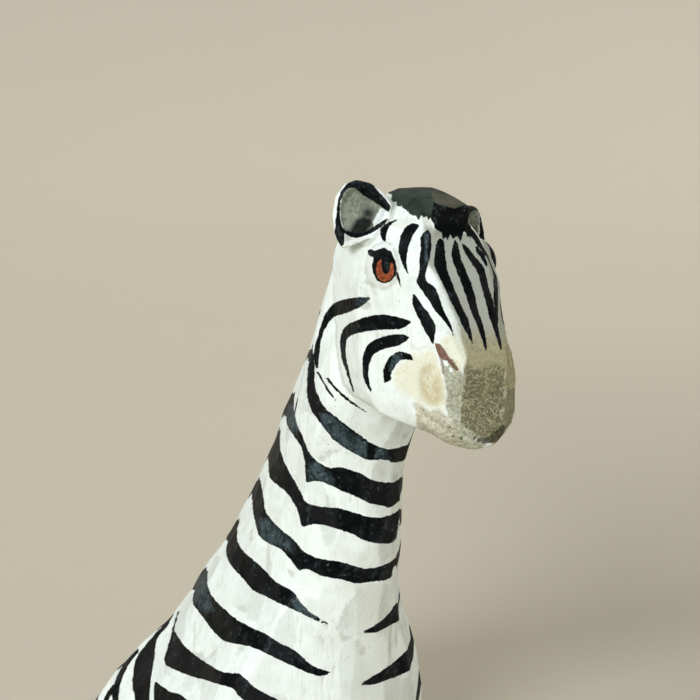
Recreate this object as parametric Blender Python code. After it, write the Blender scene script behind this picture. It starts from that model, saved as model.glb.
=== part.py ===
"""A carved wooden zebra, as a bust cut flat below the chest and withers.

Metres, +Z up. The zebra faces -Y and its right side is at -X. The origin is at the middle of the
flat underside. The carver's tables below count in units: the head is HEAD_UNITS of them long.
"""
import math

import bmesh
import bpy
import numpy as np
from mathutils import Vector

# Driving size, and the unit that the tables count in
HEAD_LENGTH = 0.090
HEAD_UNITS = 282
UNIT = HEAD_LENGTH / HEAD_UNITS

# Guide lines of the neck's facets, from the flat underside up: height, half width, distance back
THROAT_LINE = [(0, 30, -68), (55, 28, -69), (100, 25, -67), (150, 20, -68), (195, 17, -79),
               (250, 15, -94), (330, 12, -103), (368, 13, -114), (400, 14, -132), (580, 10, -132)]
SIDE_LINE = [(0, 127, -3), (45, 123, -6), (80, 117, -12), (110, 107, -20), (140, 93, -28),
             (170, 77, -34), (205, 65, -44), (250, 61, -52), (335, 59, -66), (368, 62, -82),
             (400, 60, -96), (450, 54, -96), (520, 47, -102), (580, 40, -110)]
SHOULDER_LINE = [(0, 134, 60), (45, 126, 40), (80, 116, 26), (110, 105, 20), (140, 92, 32),
                 (170, 79, 52), (198, 68, 66), (250, 60, 8), (340, 56, -22), (450, 51, -56),
                 (520, 45, -80), (580, 38, -100)]
REAR_LINE = [(0, 116, 200), (41, 101, 192), (79, 85, 186), (110, 72, 174), (150, 61, 152),
             (205, 55, 101), (250, 50, 54), (306, 47, 27), (361, 44, -6), (450, 40, -42),
             (520, 35, -68), (580, 27, -96)]
FLANK_LINE = [(0, 101, 314), (40, 88, 290), (80, 70, 256), (105, 60, 232), (130, 47, 208), (165, 37, 176),
              (205, 33, 142), (250, 31, 98), (306, 29, 60), (361, 27, 30), (450, 24, -18), (520, 20, -50),
              (580, 15, -98)]
CREST_LINE = [(0, 36, 388), (40, 28, 352), (80, 22, 302), (112, 17, 260), (176, 13, 202), (221, 12, 156),
              (296, 11, 96), (377, 10, 45), (445, 10, 0), (506, 10, -37), (580, 9, -102)]
NECK_STATIONS = 24
BREAST_SWELL = 0.10

# Guide lines of the head's facets, from the chin up, in the same three numbers
NOSE_EDGE = [(371, 9, -264), (381, 17, -271), (391, 21, -272), (402, 24, -269), (416, 25, -266),
             (440, 27, -271), (455, 25, -269), (474, 28, -256), (500, 31, -246), (525, 33, -237),
             (545, 34, -228), (565, 31, -216), (583, 25, -203), (594, 17, -192)]
MUZZLE_EDGE = [(371, 15, -259), (381, 26, -262), (391, 38, -263), (402, 43, -261), (416, 43, -260),
               (440, 42, -262), (455, 40, -260), (474, 41, -249), (500, 45, -235), (525, 51, -223),
               (545, 52, -211), (565, 45, -200), (583, 35, -190), (594, 26, -180)]
CHEEK_LINE = [(371, 18, -251), (381, 34, -247), (391, 43, -230), (402, 48, -222), (416, 50, -220),
              (440, 52, -218), (455, 54, -214), (474, 58, -204), (500, 63, -192), (525, 65, -187),
              (545, 63, -182), (565, 54, -174), (583, 44, -168), (594, 33, -164)]
JAW_LINE = [(371, 14, -245), (381, 28, -233), (391, 46, -195), (402, 58, -175), (416, 63, -170),
            (440, 66, -164), (455, 67, -160), (474, 67, -157), (500, 66, -150), (525, 64, -144),
            (545, 62, -138), (565, 56, -134), (583, 46, -134), (594, 34, -140)]
NAPE_LINE = [(371, 6, -242), (381, 12, -225), (391, 26, -160), (402, 42, -130), (416, 50, -114),
             (440, 52, -106), (455, 52, -102), (474, 51, -98), (500, 49, -92), (525, 50, -90),
             (545, 49, -92), (565, 44, -96), (583, 34, -102), (594, 24, -114)]
HEAD_STATIONS = 20

# Mane, from the forelock's front edge back over the poll and down the crest:
# distance back, height of its top, half width, depth into the neck
MANE_LINE = [(-221, 598, 20, 40), (-206, 602, 22, 42), (-190, 606, 22, 40), (-165, 610, 22, 40),
             (-138, 607, 19, 40), (-110, 593, 15, 34), (-82, 566, 12, 34), (-58, 539, 11, 30),
             (-30, 505, 11, 26), (6, 445, 11, 24), (52, 377, 11, 24), (104, 296, 11, 24),
             (164, 221, 12, 26), (211, 176, 13, 28), (270, 116, 14, 30), (324, 75, 10, 30)]
MANE_STATIONS = 44
MANE_TOP_SHARE = 0.62
MANE_CHAMFER = 5

# Ears: outline in the plane of the opening, across from the outer edge and up, about its middle
EAR_OUTLINE = [(-21, -34), (-29, -20), (-31, 0), (-28, 17), (-19, 29), (-7, 33), (7, 30), (19, 22),
               (29, 10), (26, -3), (18, -14), (7, -23), (-7, -29)]
# Rings of the ear, from its back to the floor of its hollow: share of the outline, distance forward
EAR_RINGS = [(0.35, -24), (0.78, -18), (1.0, -6), (0.98, 1), (0.80, 1), (0.66, -6), (0.34, -11)]
RIGHT_EAR = {"side": -1, "middle": (61, -158, 587), "tall": 0.97, "wide": 0.95}
LEFT_EAR = {"side": 1, "middle": (72, -158, 566), "tall": 0.68, "wide": 0.95}
EAR_TURN = 36
EAR_LEAN = 0.18

# Eyes: ball and the socket's mound, each as middle and half sizes across, along and up
EYE_BALL = ((57, -186, 536), (13, 14, 18))
EYE_MOUND = ((50, -180, 537), (19, 27, 25))
EYE_TURN = 24
EYE_MERIDIANS = 20
EYE_RINGS = 12

# Cuts: the mouth's corner and its run round the lips, and the nostril's two legs
MOUTH_RUN = [(50, -222, 413), (48, -238, 403), (42, -259, 393), (24, -270, 386), (8, -272, 384)]
MOUTH_WIDTH = 5
MOUTH_DEPTH = 5
NOSTRIL_RUN = [(43, -262, 444), (43, -257, 457), (39, -248, 471), (34, -260, 460), (29, -269, 447)]
NOSTRIL_WIDTH = 5
NOSTRIL_DEPTH = 4
CUT_LIFT = 3
CUT_SPREAD = 1.5
FACE_MIDDLE = -222

PAINT_WHITE = (0.86, 0.87, 0.84, 1.0)
PAINT_ROUGHNESS = 0.55


def clear_scene():
    """Removes what the file opens with."""
    for obj in list(bpy.data.objects):
        bpy.data.objects.remove(obj, do_unlink=True)


def new_collection(name):
    """A collection linked to the scene."""
    collection = bpy.data.collections.new(name)
    bpy.context.scene.collection.children.link(collection)
    return collection


def painted_wood():
    """The bust's own material."""
    material = bpy.data.materials.new("painted_wood")
    material.use_nodes = True
    shader = material.node_tree.nodes["Principled BSDF"]
    shader.inputs["Base Color"].default_value = PAINT_WHITE
    shader.inputs["Roughness"].default_value = PAINT_ROUGHNESS
    shader.inputs["Metallic"].default_value = 0.0
    return material


def eased(line, stops):
    """Reads a guide line at some stops, on a smooth curve through its knots."""
    knots = np.array(line, float)
    places, values = knots[:, 0], knots[:, 1:]
    slopes = np.gradient(values, places, axis=0)
    rows = []
    for stop in stops:
        low = int(np.clip(np.searchsorted(places, stop, side="right") - 1, 0, len(places) - 2))
        span = places[low + 1] - places[low]
        t = (stop - places[low]) / span
        rows.append(
            (2 * t**3 - 3 * t**2 + 1) * values[low]
            + (t**3 - 2 * t**2 + t) * span * slopes[low]
            + (3 * t**2 - 2 * t**3) * values[low + 1]
            + (t**3 - t**2) * span * slopes[low + 1]
        )
    return np.array(rows)


def swollen(first, second, share):
    """The middle of a facet between two corners, pushed out by a share of its length."""
    middle = (first + second) / 2
    run = second - first
    return middle + share * np.array((run[1], -run[0]))


def new_object(name, mesh, collection):
    """Turns a mesh under construction into an object of a collection."""
    data = bpy.data.meshes.new(name)
    mesh.to_mesh(data)
    mesh.free()
    obj = bpy.data.objects.new(name, data)
    collection.objects.link(obj)
    return obj


def loft(name, rings, collection):
    """A closed solid through rings of equally many points, in units, flat at both ends."""
    mesh = bmesh.new()
    rows = [[mesh.verts.new(Vector(point) * UNIT) for point in ring] for ring in rings]
    count = len(rows[0])
    for lower, upper in zip(rows, rows[1:]):
        for i in range(count):
            j = (i + 1) % count
            mesh.faces.new((lower[i], lower[j], upper[j]))
            mesh.faces.new((lower[i], upper[j], upper[i]))
    bmesh.ops.triangulate(mesh, faces=[mesh.faces.new(rows[0]), mesh.faces.new(rows[-1])])
    bmesh.ops.recalc_face_normals(mesh, faces=mesh.faces)
    return new_object(name, mesh, collection)


def both_sides(half, height):
    """A level ring from the half at +X, front to back, and its mirror image."""
    right = [(x, y, height) for x, y in half]
    left = [(-x, y, height) for x, y in reversed(half)]
    return right + left


def neck_rings():
    """Level sections of the neck, from the flat underside to inside the head."""
    heights = np.linspace(THROAT_LINE[0][0], THROAT_LINE[-1][0], NECK_STATIONS)
    guides = (THROAT_LINE, SIDE_LINE, SHOULDER_LINE, REAR_LINE, FLANK_LINE, CREST_LINE)
    rings = []
    for height, throat, side, *others in zip(heights, *(eased(line, heights) for line in guides)):
        breast = swollen(throat, side, BREAST_SWELL)
        rings.append(both_sides([throat, breast, side, *others], height))
    return rings


def head_rings():
    """Level sections of the head, from the chin to the top of the brow."""
    knots = [knot[0] for knot in NOSE_EDGE]
    shares = np.linspace(0, len(knots) - 1, HEAD_STATIONS)
    heights = np.interp(shares, range(len(knots)), knots)
    lines = [eased(line, heights) for line in (NOSE_EDGE, MUZZLE_EDGE, CHEEK_LINE, JAW_LINE, NAPE_LINE)]
    return [both_sides(half, height) for height, *half in zip(heights, *lines)]


def mane_rings():
    """Sections square to the mane's own line, from the forelock's face down to the withers."""
    knots = np.array(MANE_LINE, float)
    run = np.concatenate([[0], np.cumsum(np.hypot(*np.diff(knots[:, :2], axis=0).T))])
    rows = eased(np.column_stack([run, knots]), np.linspace(0, run[-1], MANE_STATIONS))
    headings = np.gradient(rows[:, :2], axis=0)
    rings = []
    for (back, top, half, depth), (along, up) in zip(rows, headings):
        length = math.hypot(along, up)
        outward = (-up / length, along / length)
        corners = [(half, -depth), (half, -MANE_CHAMFER), (half * MANE_TOP_SHARE, 0)]
        corners += [(-x, out) for x, out in reversed(corners)]
        rings.append([(x, back + out * outward[0], top + out * outward[1]) for x, out in corners])
    return rings


def ear_rings(side, middle, tall, wide):
    """The ear as a cup: its back, its rim and the hollow, in the plane that the opening faces."""
    turn = math.radians(EAR_TURN)
    across = Vector((-side * math.cos(turn), -math.sin(turn), 0))
    facing = Vector((side * math.sin(turn), -math.cos(turn), 0))
    centre = Vector((side * middle[0], middle[1], middle[2]))
    rings = []
    for share, forward in EAR_RINGS:
        ring = []
        for u, v in EAR_OUTLINE:
            u = share * u * wide
            v = share * v * tall
            ring.append(centre + across * u + Vector((0, 0, v)) + facing * (forward - EAR_LEAN * v))
        rings.append(ring)
    return rings


def ball(name, side, middle, half_sizes, collection):
    """An egg-shaped swelling on one side of the head, turned with the eye."""
    mesh = bmesh.new()
    bmesh.ops.create_uvsphere(mesh, u_segments=EYE_MERIDIANS, v_segments=EYE_RINGS, radius=1.0)
    turn = side * math.radians(EYE_TURN)
    for vert in mesh.verts:
        x, y, z = (a * b for a, b in zip(vert.co, half_sizes))
        vert.co = Vector((
            side * middle[0] + x * math.cos(turn) - y * math.sin(turn),
            middle[1] + x * math.sin(turn) + y * math.cos(turn),
            middle[2] + z,
        )) * UNIT
    return new_object(name, mesh, collection)


def groove_rings(run, width, depth):
    """A bar of diamond section along a run of points on the surface, whose inner edge cuts the groove."""
    points = [Vector(point) for point in run]
    rings = []
    for i, point in enumerate(points):
        along = (points[min(i + 1, len(points) - 1)] - points[max(i - 1, 0)]).normalized()
        outward = Vector((point.x, point.y - FACE_MIDDLE, 0)).normalized()
        outward = (outward - along * outward.dot(along)).normalized()
        across = along.cross(outward)
        rings.append([
            point + outward * CUT_LIFT,
            point + across * (width / 2 + CUT_SPREAD),
            point - outward * depth,
            point - across * (width / 2 + CUT_SPREAD),
        ])
    return rings


def mirrored(run):
    """The same run of points on the other side of the head."""
    return [(-x, y, z) for x, y, z in run]


def carve(body, tool, operation):
    """Joins a block to the body, or cuts it with a tool."""
    modifier = body.modifiers.new(operation.lower() + "_" + tool.name, "BOOLEAN")
    modifier.operation = operation
    modifier.solver = "EXACT"
    modifier.object = tool
    tool.display_type = "WIRE"
    tool.hide_render = True


def main():
    clear_scene()
    parts = new_collection("zebra")
    tools = new_collection("carving_tools")

    head = head_rings()
    neck = neck_rings()
    mane = mane_rings()
    body = loft("zebra_bust", neck, parts)
    body.data.materials.append(painted_wood())
    carve(body, loft("head_block", head, tools), "UNION")
    carve(body, loft("mane_block", mane, tools), "UNION")
    for name, ear in (("right_ear", RIGHT_EAR), ("left_ear", LEFT_EAR)):
        carve(body, loft(name, ear_rings(**ear), tools), "UNION")
    for name, side in (("right", -1), ("left", 1)):
        carve(body, ball(name + "_eye_mound", side, *EYE_MOUND, tools), "UNION")
        carve(body, ball(name + "_eye", side, *EYE_BALL, tools), "UNION")
    mouth = MOUTH_RUN + mirrored(MOUTH_RUN)[::-1]
    carve(body, loft("mouth", groove_rings(mouth, MOUTH_WIDTH, MOUTH_DEPTH), tools), "DIFFERENCE")
    for name, run in (("left_nostril", NOSTRIL_RUN), ("right_nostril", mirrored(NOSTRIL_RUN))):
        carve(body, loft(name, groove_rings(run, NOSTRIL_WIDTH, NOSTRIL_DEPTH), tools), "DIFFERENCE")

    # The middle of the whole form, front to back, comes over the origin
    rows = np.array([point for ring in head + neck + mane for point in ring])
    centre = (rows[:, 1].min() + rows[:, 1].max()) / 2
    stand = bpy.data.objects.new("stand", None)
    parts.objects.link(stand)
    stand.location.y = -centre * UNIT
    for obj in list(parts.objects) + list(tools.objects):
        if obj is not stand:
            obj.parent = stand


main()
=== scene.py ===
"""A carved and painted wooden zebra bust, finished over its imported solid.

Metres, +Z up. The zebra faces -Y and its right side is at -X. The carver's tables count in units,
282 to the length of the head. The painter's tables are laid out on one view of the figure, from its
right front: units across from the view's left edge and down from its top, 700 each way.
"""
import math

import bmesh
import bpy
import numpy as np
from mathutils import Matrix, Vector
from mathutils.bvhtree import BVHTree


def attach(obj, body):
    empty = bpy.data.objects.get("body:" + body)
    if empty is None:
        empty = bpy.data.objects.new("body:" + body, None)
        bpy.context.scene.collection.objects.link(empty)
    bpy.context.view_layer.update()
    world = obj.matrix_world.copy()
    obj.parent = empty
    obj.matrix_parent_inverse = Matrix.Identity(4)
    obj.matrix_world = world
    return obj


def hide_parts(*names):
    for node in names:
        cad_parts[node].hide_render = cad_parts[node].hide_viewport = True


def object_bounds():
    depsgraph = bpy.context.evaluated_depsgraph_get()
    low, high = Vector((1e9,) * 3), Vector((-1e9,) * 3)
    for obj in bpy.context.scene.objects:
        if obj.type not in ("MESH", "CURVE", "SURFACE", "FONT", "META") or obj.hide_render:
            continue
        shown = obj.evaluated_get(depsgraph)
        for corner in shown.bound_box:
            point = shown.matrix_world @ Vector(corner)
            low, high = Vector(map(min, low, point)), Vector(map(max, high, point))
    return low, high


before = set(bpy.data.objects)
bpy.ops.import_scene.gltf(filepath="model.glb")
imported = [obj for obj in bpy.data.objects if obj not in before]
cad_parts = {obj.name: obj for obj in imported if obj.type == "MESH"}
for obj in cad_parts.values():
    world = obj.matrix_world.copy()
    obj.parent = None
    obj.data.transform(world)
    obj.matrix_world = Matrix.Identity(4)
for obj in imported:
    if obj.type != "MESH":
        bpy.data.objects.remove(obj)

bl_info = {
    "name": "Carved Zebra Bust",
    "version": (1, 0, 0),
    "blender": (4, 5, 0),
    "location": "3D View > Sidebar > Zebra",
    "description": "Carves and paints a wooden zebra bust and sets its stage",
    "category": "Object",
}

CAD_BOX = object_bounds()

# The carver's unit, and how far the units' origin lies in front of the base's middle
UNIT = 0.090 / 282
STAND_SHIFT = 58.02

# The painter's view: where it looks from, in degrees, its distance and the point that it faces
VIEW_AZIMUTH = -35
VIEW_ELEVATION = 8
VIEW_DISTANCE = 2663
VIEW_TARGET = (0, -49, 440)
VIEW_SIZE = 700
VIEW_MIDDLE = VIEW_SIZE / 2

# Ears: their rim about its middle, each ear's place and measure, their turn in degrees and their lean back
EAR_OUTLINE = [(-21, -34), (-29, -20), (-31, 0), (-28, 17), (-19, 29), (-7, 33), (7, 30), (19, 22),
               (29, 10), (26, -3), (18, -14), (7, -23), (-7, -29)]
RIGHT_EAR = {"side": -1, "middle": (61, -158, 587), "tall": 0.97, "wide": 0.95}
LEFT_EAR = {"side": 1, "middle": (72, -158, 566), "tall": 0.68, "wide": 0.95}
EAR_TURN = 36
EAR_LEAN = 0.18

# Eye, mouth and nostril of the head's left side, which the right side mirrors
EYE_MIDDLE = (62, -190, 536)
MOUTH_RUN = [(50, -222, 413), (48, -238, 403), (42, -259, 393), (24, -270, 386), (8, -272, 384),
             (0, -272, 384)]
NOSTRIL_RUN = [(43, -262, 444), (43, -257, 457), (39, -248, 471), (34, -260, 460), (29, -269, 447)]

# Regions with soft edges, each from where it starts to where it is full. The head parts from the neck
# by the height over a slanting plane, and ends at the back
HEAD_CUTS = {"slant": 0.5, "level": (352, 384), "back": (-60, -90)}
HEAD_PAINT = {"slant": 0.4, "level": (356, 376), "back": (-135, -150)}
HEAD_MESH = {"slant": 0.4, "level": 366, "back": -62}
FORELOCK_FORM = {"aside": (32, 26), "height": (548, 558), "back": (-96, -110)}
FORELOCK_PAINT = {"aside": (31, 27), "height": (546, 552), "back": (-98, -104)}
MUZZLE_BACK = (-140, -165)
BELOW_EARS = (590, 574)

# How far from its middle or line a part is carved fine: from off it to on it
EYE_FINE = (30, 20)
EYE_RIM = (30, 22)
EAR_FINE = (42, 34)
MOUTH_FINE = (13, 7)
EAR_EDGE = (1.16, 1.08)
EAR_BACK = (-22, -19)
EAR_FRONT = (12, 8)

# How far the surface has to face the view for its own paint to show there, and to lie past its edge
SEEN = (0.2, 0.34)
SEEN_ON_HEAD = (0.12, 0.28)
PAST_EDGE = (0.16, 0.0)

# How far off a painted edge and a wash are still measured
REACH = 14.0
WASH_REACH = 30.0

# Stripes of the neck and shoulder, each as its left or lower edge and its right or upper edge
NECK_STRIPES = {
    "jaw": (
        [(311, 344), (309, 360), (306.7, 380), (306.7, 397), (311, 410), (317, 418.5), (325, 430),
         (335, 441.5), (348, 450), (365, 459.5), (373, 460.5), (386, 459), (393, 463.5), (402, 461.5),
         (409, 458), (418, 450)],
        [(312.5, 344), (314, 360), (315, 370), (314.2, 385), (318.3, 396.7), (324.2, 407.5), (333.3, 415),
         (348.3, 426.7), (366.7, 440), (375, 445.8), (390, 450), (408.3, 445), (420, 436)]),
    "throat": (
        [(302.5, 350), (297, 372), (291.7, 387), (287.5, 400), (285.8, 411), (286.7, 426), (294, 436),
         (301, 446), (305, 460), (305.8, 482.5), (307, 482.8), (315, 480.5), (325, 482.5), (341.7, 490.8),
         (356.7, 496.7), (370, 504), (381.7, 505.5), (390, 508.5), (398, 502), (404, 498), (414, 490)],
        [(304.5, 350), (300, 374), (296.2, 387), (293.7, 400), (294.2, 411.7), (296.7, 425), (303.3, 436.7),
         (307.5, 450), (312, 457.5), (328, 468.5), (340, 466.7), (350, 470), (363, 474), (370, 480),
         (391.7, 483.5), (400, 479), (404, 470), (406.5, 458), (418, 450)]),
    "upper_neck": (
        [(284.5, 398), (280, 418), (273, 438), (269, 453), (268, 477), (277, 485), (285, 490), (293.5, 502),
         (298.5, 512), (301.7, 527), (303, 527), (312, 524), (325, 525), (340, 530), (353, 534),
         (365, 541.5), (385, 544.3), (395.8, 541.7), (398, 529), (400, 514), (410, 506)],
        [(286.5, 398), (281.5, 425), (279.3, 440), (281.7, 456.7), (288.3, 470), (296.7, 485), (302.5, 495),
         (304.5, 502.5), (318, 506.7), (338, 507.5), (352, 511.7), (366.7, 516.7), (375, 517.8),
         (388, 516.7), (398, 511), (403, 503), (412, 494)]),
    "middle_neck": (
        [(261, 455), (257, 475), (254, 484), (251.7, 495), (252.5, 510), (255.8, 525), (258.3, 536),
         (268, 543.5), (280, 548.3), (287, 555), (293.3, 563.3), (298.3, 570.5), (300, 570.5),
         (306.7, 568.3), (315, 573.3), (328, 577.5), (341.7, 579.2), (356.7, 584.3), (368, 581.8),
         (391.7, 580), (392.5, 570), (396, 563.5), (401.7, 560), (410, 554)],
        [(263, 455), (259.5, 478), (262.5, 490), (264.2, 503.3), (265.3, 512), (273, 521.7), (281.7, 530),
         (291.7, 537.5), (298.3, 545), (302, 550), (311.7, 556.7), (328, 560), (341.7, 561.7),
         (356.7, 566.7), (370, 569.3), (385, 565), (396, 558.5), (399, 547), (401.5, 536), (411, 528)]),
    "lower_neck": (
        [(242.5, 498), (237.5, 515), (232, 526), (228, 532), (226.5, 545), (226, 558), (234, 569),
         (245, 581), (253, 591), (265, 596), (277, 602), (286, 606.5), (301, 613), (310, 618.5),
         (331, 626)],
        [(244.5, 498), (239.5, 519), (236, 536), (240, 548), (251.7, 558.5), (264, 569), (273, 580),
         (284, 586.5), (292, 590.5), (297, 597), (304, 606), (309, 611), (318, 617.5), (331, 625)]),
    "left_breast": (
        [(412, 586), (400, 598), (396, 602), (393, 608), (385, 618), (375, 625), (362, 632)],
        [(414, 610), (400, 620), (393, 624), (385, 628), (377, 632.5), (371, 632.8), (362, 633.4)]),
    "shoulder": (
        [(213, 548), (206, 561), (199, 569), (195, 578), (194, 590), (192, 603), (197, 610), (205, 620),
         (215, 634), (225, 642), (237, 644), (253, 647), (265, 653), (279, 660), (293, 666), (305, 672),
         (317, 676.5), (331, 673.5)],
        [(215, 548), (208, 563), (206.5, 573), (207, 586), (213, 598), (225, 610), (237, 620), (255, 629),
         (269, 635), (277, 642), (291, 648), (301, 655), (307, 662), (317, 668), (331, 672)]),
    "left_shoulder": (
        [(426, 632), (414, 643), (409, 648), (399, 658), (389, 666), (375, 675), (365, 681), (358, 684)],
        [(436, 660), (422, 667), (413, 669), (399, 676), (387, 680), (373, 684.8), (358, 685.6)]),
    "forearm": (
        [(174, 632), (170, 640), (167, 648), (163, 664), (173, 669), (189, 676), (205, 680), (221, 685),
         (234, 688), (237, 695), (250, 706), (275, 718), (305, 729), (334, 735)],
        [(175.5, 632), (181, 642), (191, 652), (205, 662), (221, 672), (229, 673), (239, 673), (245, 678),
         (255, 688), (265, 693), (285, 703), (305, 713), (320, 725), (334, 734)]),
    "left_forearm": (
        [(444, 688), (427, 699), (408, 713), (390, 724), (372, 733), (358, 738)],
        [(446, 712), (428, 720), (408, 728), (388, 736), (372, 741), (358, 740)]),
    "low_shoulder": (
        [(154.5, 682), (153, 700), (158, 716), (175, 728), (200, 740), (225, 748), (250, 756), (280, 768),
         (310, 776), (338, 777)],
        [(156.5, 682), (163, 687), (170, 692), (181, 694), (190, 703), (212, 714), (240, 728), (270, 742),
         (300, 758), (325, 770), (338, 776)]),
    "left_low_shoulder": (
        [(450, 738), (425, 750), (400, 763), (375, 776), (358, 785)],
        [(452, 758), (425, 768), (400, 779), (378, 788), (358, 788)]),
    "base": (
        [(149, 744), (152, 760), (170, 776), (200, 792), (230, 812)],
        [(152, 742), (162, 750), (185, 762), (215, 776), (250, 790), (285, 812)]),
    "withers": (
        [(172, 612), (166, 622), (153, 636), (143, 648), (135, 660), (133, 672), (132, 684), (135, 700),
         (140, 720), (144, 775)],
        [(174.5, 612), (168, 626), (157.5, 636), (155, 650), (153, 668), (150, 684), (149.5, 700),
         (151, 720), (156, 775)]),
    "back": (
        [(138, 648), (131, 655), (124, 662), (117, 676), (112.5, 690), (112, 705), (114, 725), (119, 760)],
        [(139, 652), (133, 658), (124.5, 672), (119.5, 686), (118, 703), (121, 725), (128, 760)]),
    "rump": (
        [(113, 684), (106, 694), (101, 706), (99, 722), (102, 750)],
        [(115, 687), (109.5, 697), (106, 708), (105.5, 722), (110, 750)]),
    "rump_end": (
        [(98, 690), (92, 702), (90, 718), (92, 740)],
        [(100, 692), (96, 704), (95, 718), (98, 740)]),
    # A thin dark line painted down the fold between the shoulder and the withers
    "fold": (
        [(178, 611), (173, 625), (170.5, 638)],
        [(179.6, 611), (175, 626), (173, 638)]),
}

# Stripes of the face and cheek, laid out in the same way
FACE_STRIPES = {
    "brow_tab": (
        [(396, 219.3), (389, 222), (381.5, 226), (380, 231), (381, 238), (384, 242)],
        [(397, 221), (392, 223.3), (388, 228), (386.2, 234), (385.4, 241)]),
    "brow_leaf": (
        [(413, 223.5), (408, 224.5), (402.5, 230.8), (400, 238.3), (398.3, 246.7), (399.2, 255),
         (401.7, 263.3), (405.8, 270.8), (408.3, 275.5)],
        [(414, 223.3), (420, 225), (416.7, 230), (411.7, 238.3), (408.3, 248.3), (406.3, 258.3),
         (406.6, 267), (409, 275)]),
    "brow_curl": (
        [(427, 230), (421.7, 234.2), (420, 241.7), (420.8, 250), (419.2, 258.3), (419.2, 268.3),
         (418.3, 276.7), (415.8, 281.7), (419.2, 286.7), (425, 295), (430, 301.7), (434.2, 310),
         (441.7, 318.3), (448.3, 326.7), (452.5, 333.3), (453.8, 337.5)],
        [(428.5, 230), (430.6, 234), (431.7, 241.7), (430.8, 251.7), (429.2, 261.7), (426.7, 268.3),
         (425.2, 276.7), (426.7, 282.5), (433.3, 285), (437.5, 291.7), (441.7, 305), (445.8, 315),
         (451.7, 325), (454.6, 337)]),
    "nose_right": (
        [(439, 238.5), (436.7, 243.3), (435, 250), (433.7, 260), (434.2, 266.7), (438.3, 275), (443.3, 285),
         (448.3, 296.7), (453.3, 306.7), (458.3, 316.7), (463.3, 326.7), (468.3, 336.7), (472, 343.5)],
        [(441, 238.5), (444, 241), (445.3, 248.3), (445.8, 258.3), (446.3, 266.7), (450, 276.7),
         (454.2, 288.3), (458.3, 298.3), (462.5, 308.3), (467.5, 316.7), (470.3, 326.7), (471.8, 335),
         (472.8, 343)]),
    "nose_middle": (
        [(454.5, 240), (452.5, 246.7), (451.3, 255), (453.3, 263.3), (457.5, 273.3), (462.5, 286.7),
         (467.5, 300), (471.7, 313.3), (476.7, 325), (481.7, 338.3), (485.6, 350.5)],
        [(456, 240), (457.5, 243.3), (459.2, 250), (460.8, 258.3), (465, 268.3), (470.8, 281.7), (475, 295),
         (477.2, 308.3), (481.7, 321.7), (485, 333.3), (486.8, 343.3), (486.4, 350.5)]),
    "nose_left": (
        [(461.5, 243.5), (462.5, 247.5), (465.8, 255), (471.7, 263.3), (477.5, 271.7), (480, 283),
         (483.3, 291.7), (486.7, 306.7), (490, 320), (495, 333.3), (500.4, 350.5)],
        [(463.5, 243), (470, 250), (476.7, 258.3), (484.2, 266.7), (486.7, 278.3), (489, 287), (491.5, 297),
         (494, 304), (495.8, 310), (496.8, 320), (499.4, 333), (502, 345), (501.6, 350.5)]),
    "left_brow": (
        [(475, 246.5), (476, 252), (480, 257), (484, 263), (486.6, 268)],
        [(476.5, 246), (480, 249.5), (484.7, 254), (487, 261), (487.8, 267)]),
    "left_face": (
        [(486, 268.5), (487.5, 275), (489, 282), (490.5, 290), (488.5, 299)],
        [(492, 267), (494.5, 275), (497, 285), (503, 291), (503, 299)]),
    "left_socket": (
        [(479, 238), (482, 249), (486, 254), (491, 262), (496, 270), (499, 278), (501, 283)],
        [(484, 238), (487, 245.5), (493, 251), (498.5, 257.5), (503, 265), (505, 275), (503, 283)]),
    "left_nose_dash": (
        [(497.5, 315), (498, 321)],
        [(503, 314), (503, 322)]),
    "nose_side": (
        [(413, 294), (412, 298.3), (413.3, 308.3), (418.3, 318.3), (423.3, 328.3), (428.3, 336.7),
         (432.6, 344)],
        [(414.5, 294), (416.7, 297), (423.3, 306.7), (430, 315), (435, 323.3), (436, 328.3), (434.6, 335),
         (433.6, 344)]),
    "cheek_rear": (
        [(370, 297.3), (361, 297), (350, 298), (337, 301), (330, 307), (324, 316), (319, 331), (315, 346),
         (313.5, 360), (316, 368.5)],
        [(370, 299), (362, 306.5), (345, 314), (335, 316), (329, 322), (325, 329), (321, 339), (319.2, 357),
         (318.5, 368)]),
    "cheek_outer": (
        [(411, 321.5), (404, 318.5), (398, 317), (390, 315.2), (382, 314), (368, 316), (352, 322),
         (344, 327), (340, 337), (340, 351), (343, 363), (347, 375), (353.2, 392)],
        [(411, 322.5), (404, 328), (398, 330), (390, 329.6), (378, 330), (362, 332), (352, 334.5),
         (346, 340), (345.4, 350), (346.5, 360), (350, 375), (354.2, 391.5)]),
    "cheek_middle": (
        [(409, 336.5), (402, 333.7), (387, 335), (374, 340), (366, 346), (363, 356), (362, 368), (364, 382),
         (370.4, 391.5)],
        [(409, 337.8), (405, 342), (400, 345), (387, 348), (375, 352.5), (370, 361), (368.2, 373),
         (369, 382), (371.8, 391)]),
    "cheek_inner": (
        [(413, 356.5), (407, 352.6), (398, 351), (388, 358), (383, 370), (383, 378), (384.5, 383)],
        [(413, 360.5), (408, 359.5), (400, 360), (394, 368), (390.5, 374), (392.5, 380), (387, 382)]),
    "jaw_line_back": (
        [(316.5, 372), (322, 382), (328, 392), (336, 402)],
        [(318.5, 371), (324.5, 382), (330.5, 392), (336.8, 401)]),
    "jaw_line_front": (
        [(325.5, 378), (335, 390), (346, 400), (357, 407.5), (367, 413)],
        [(327.5, 377), (337, 388.5), (347.5, 398), (358, 405.6), (367.5, 412)]),
    "eye_tail": (
        [(394, 266), (396, 274), (398.4, 281), (400.4, 287)],
        [(396.6, 266), (398.6, 274), (400.4, 281), (401.4, 287)]),
}
STRIPES = {**NECK_STRIPES, **FACE_STRIPES}

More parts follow.
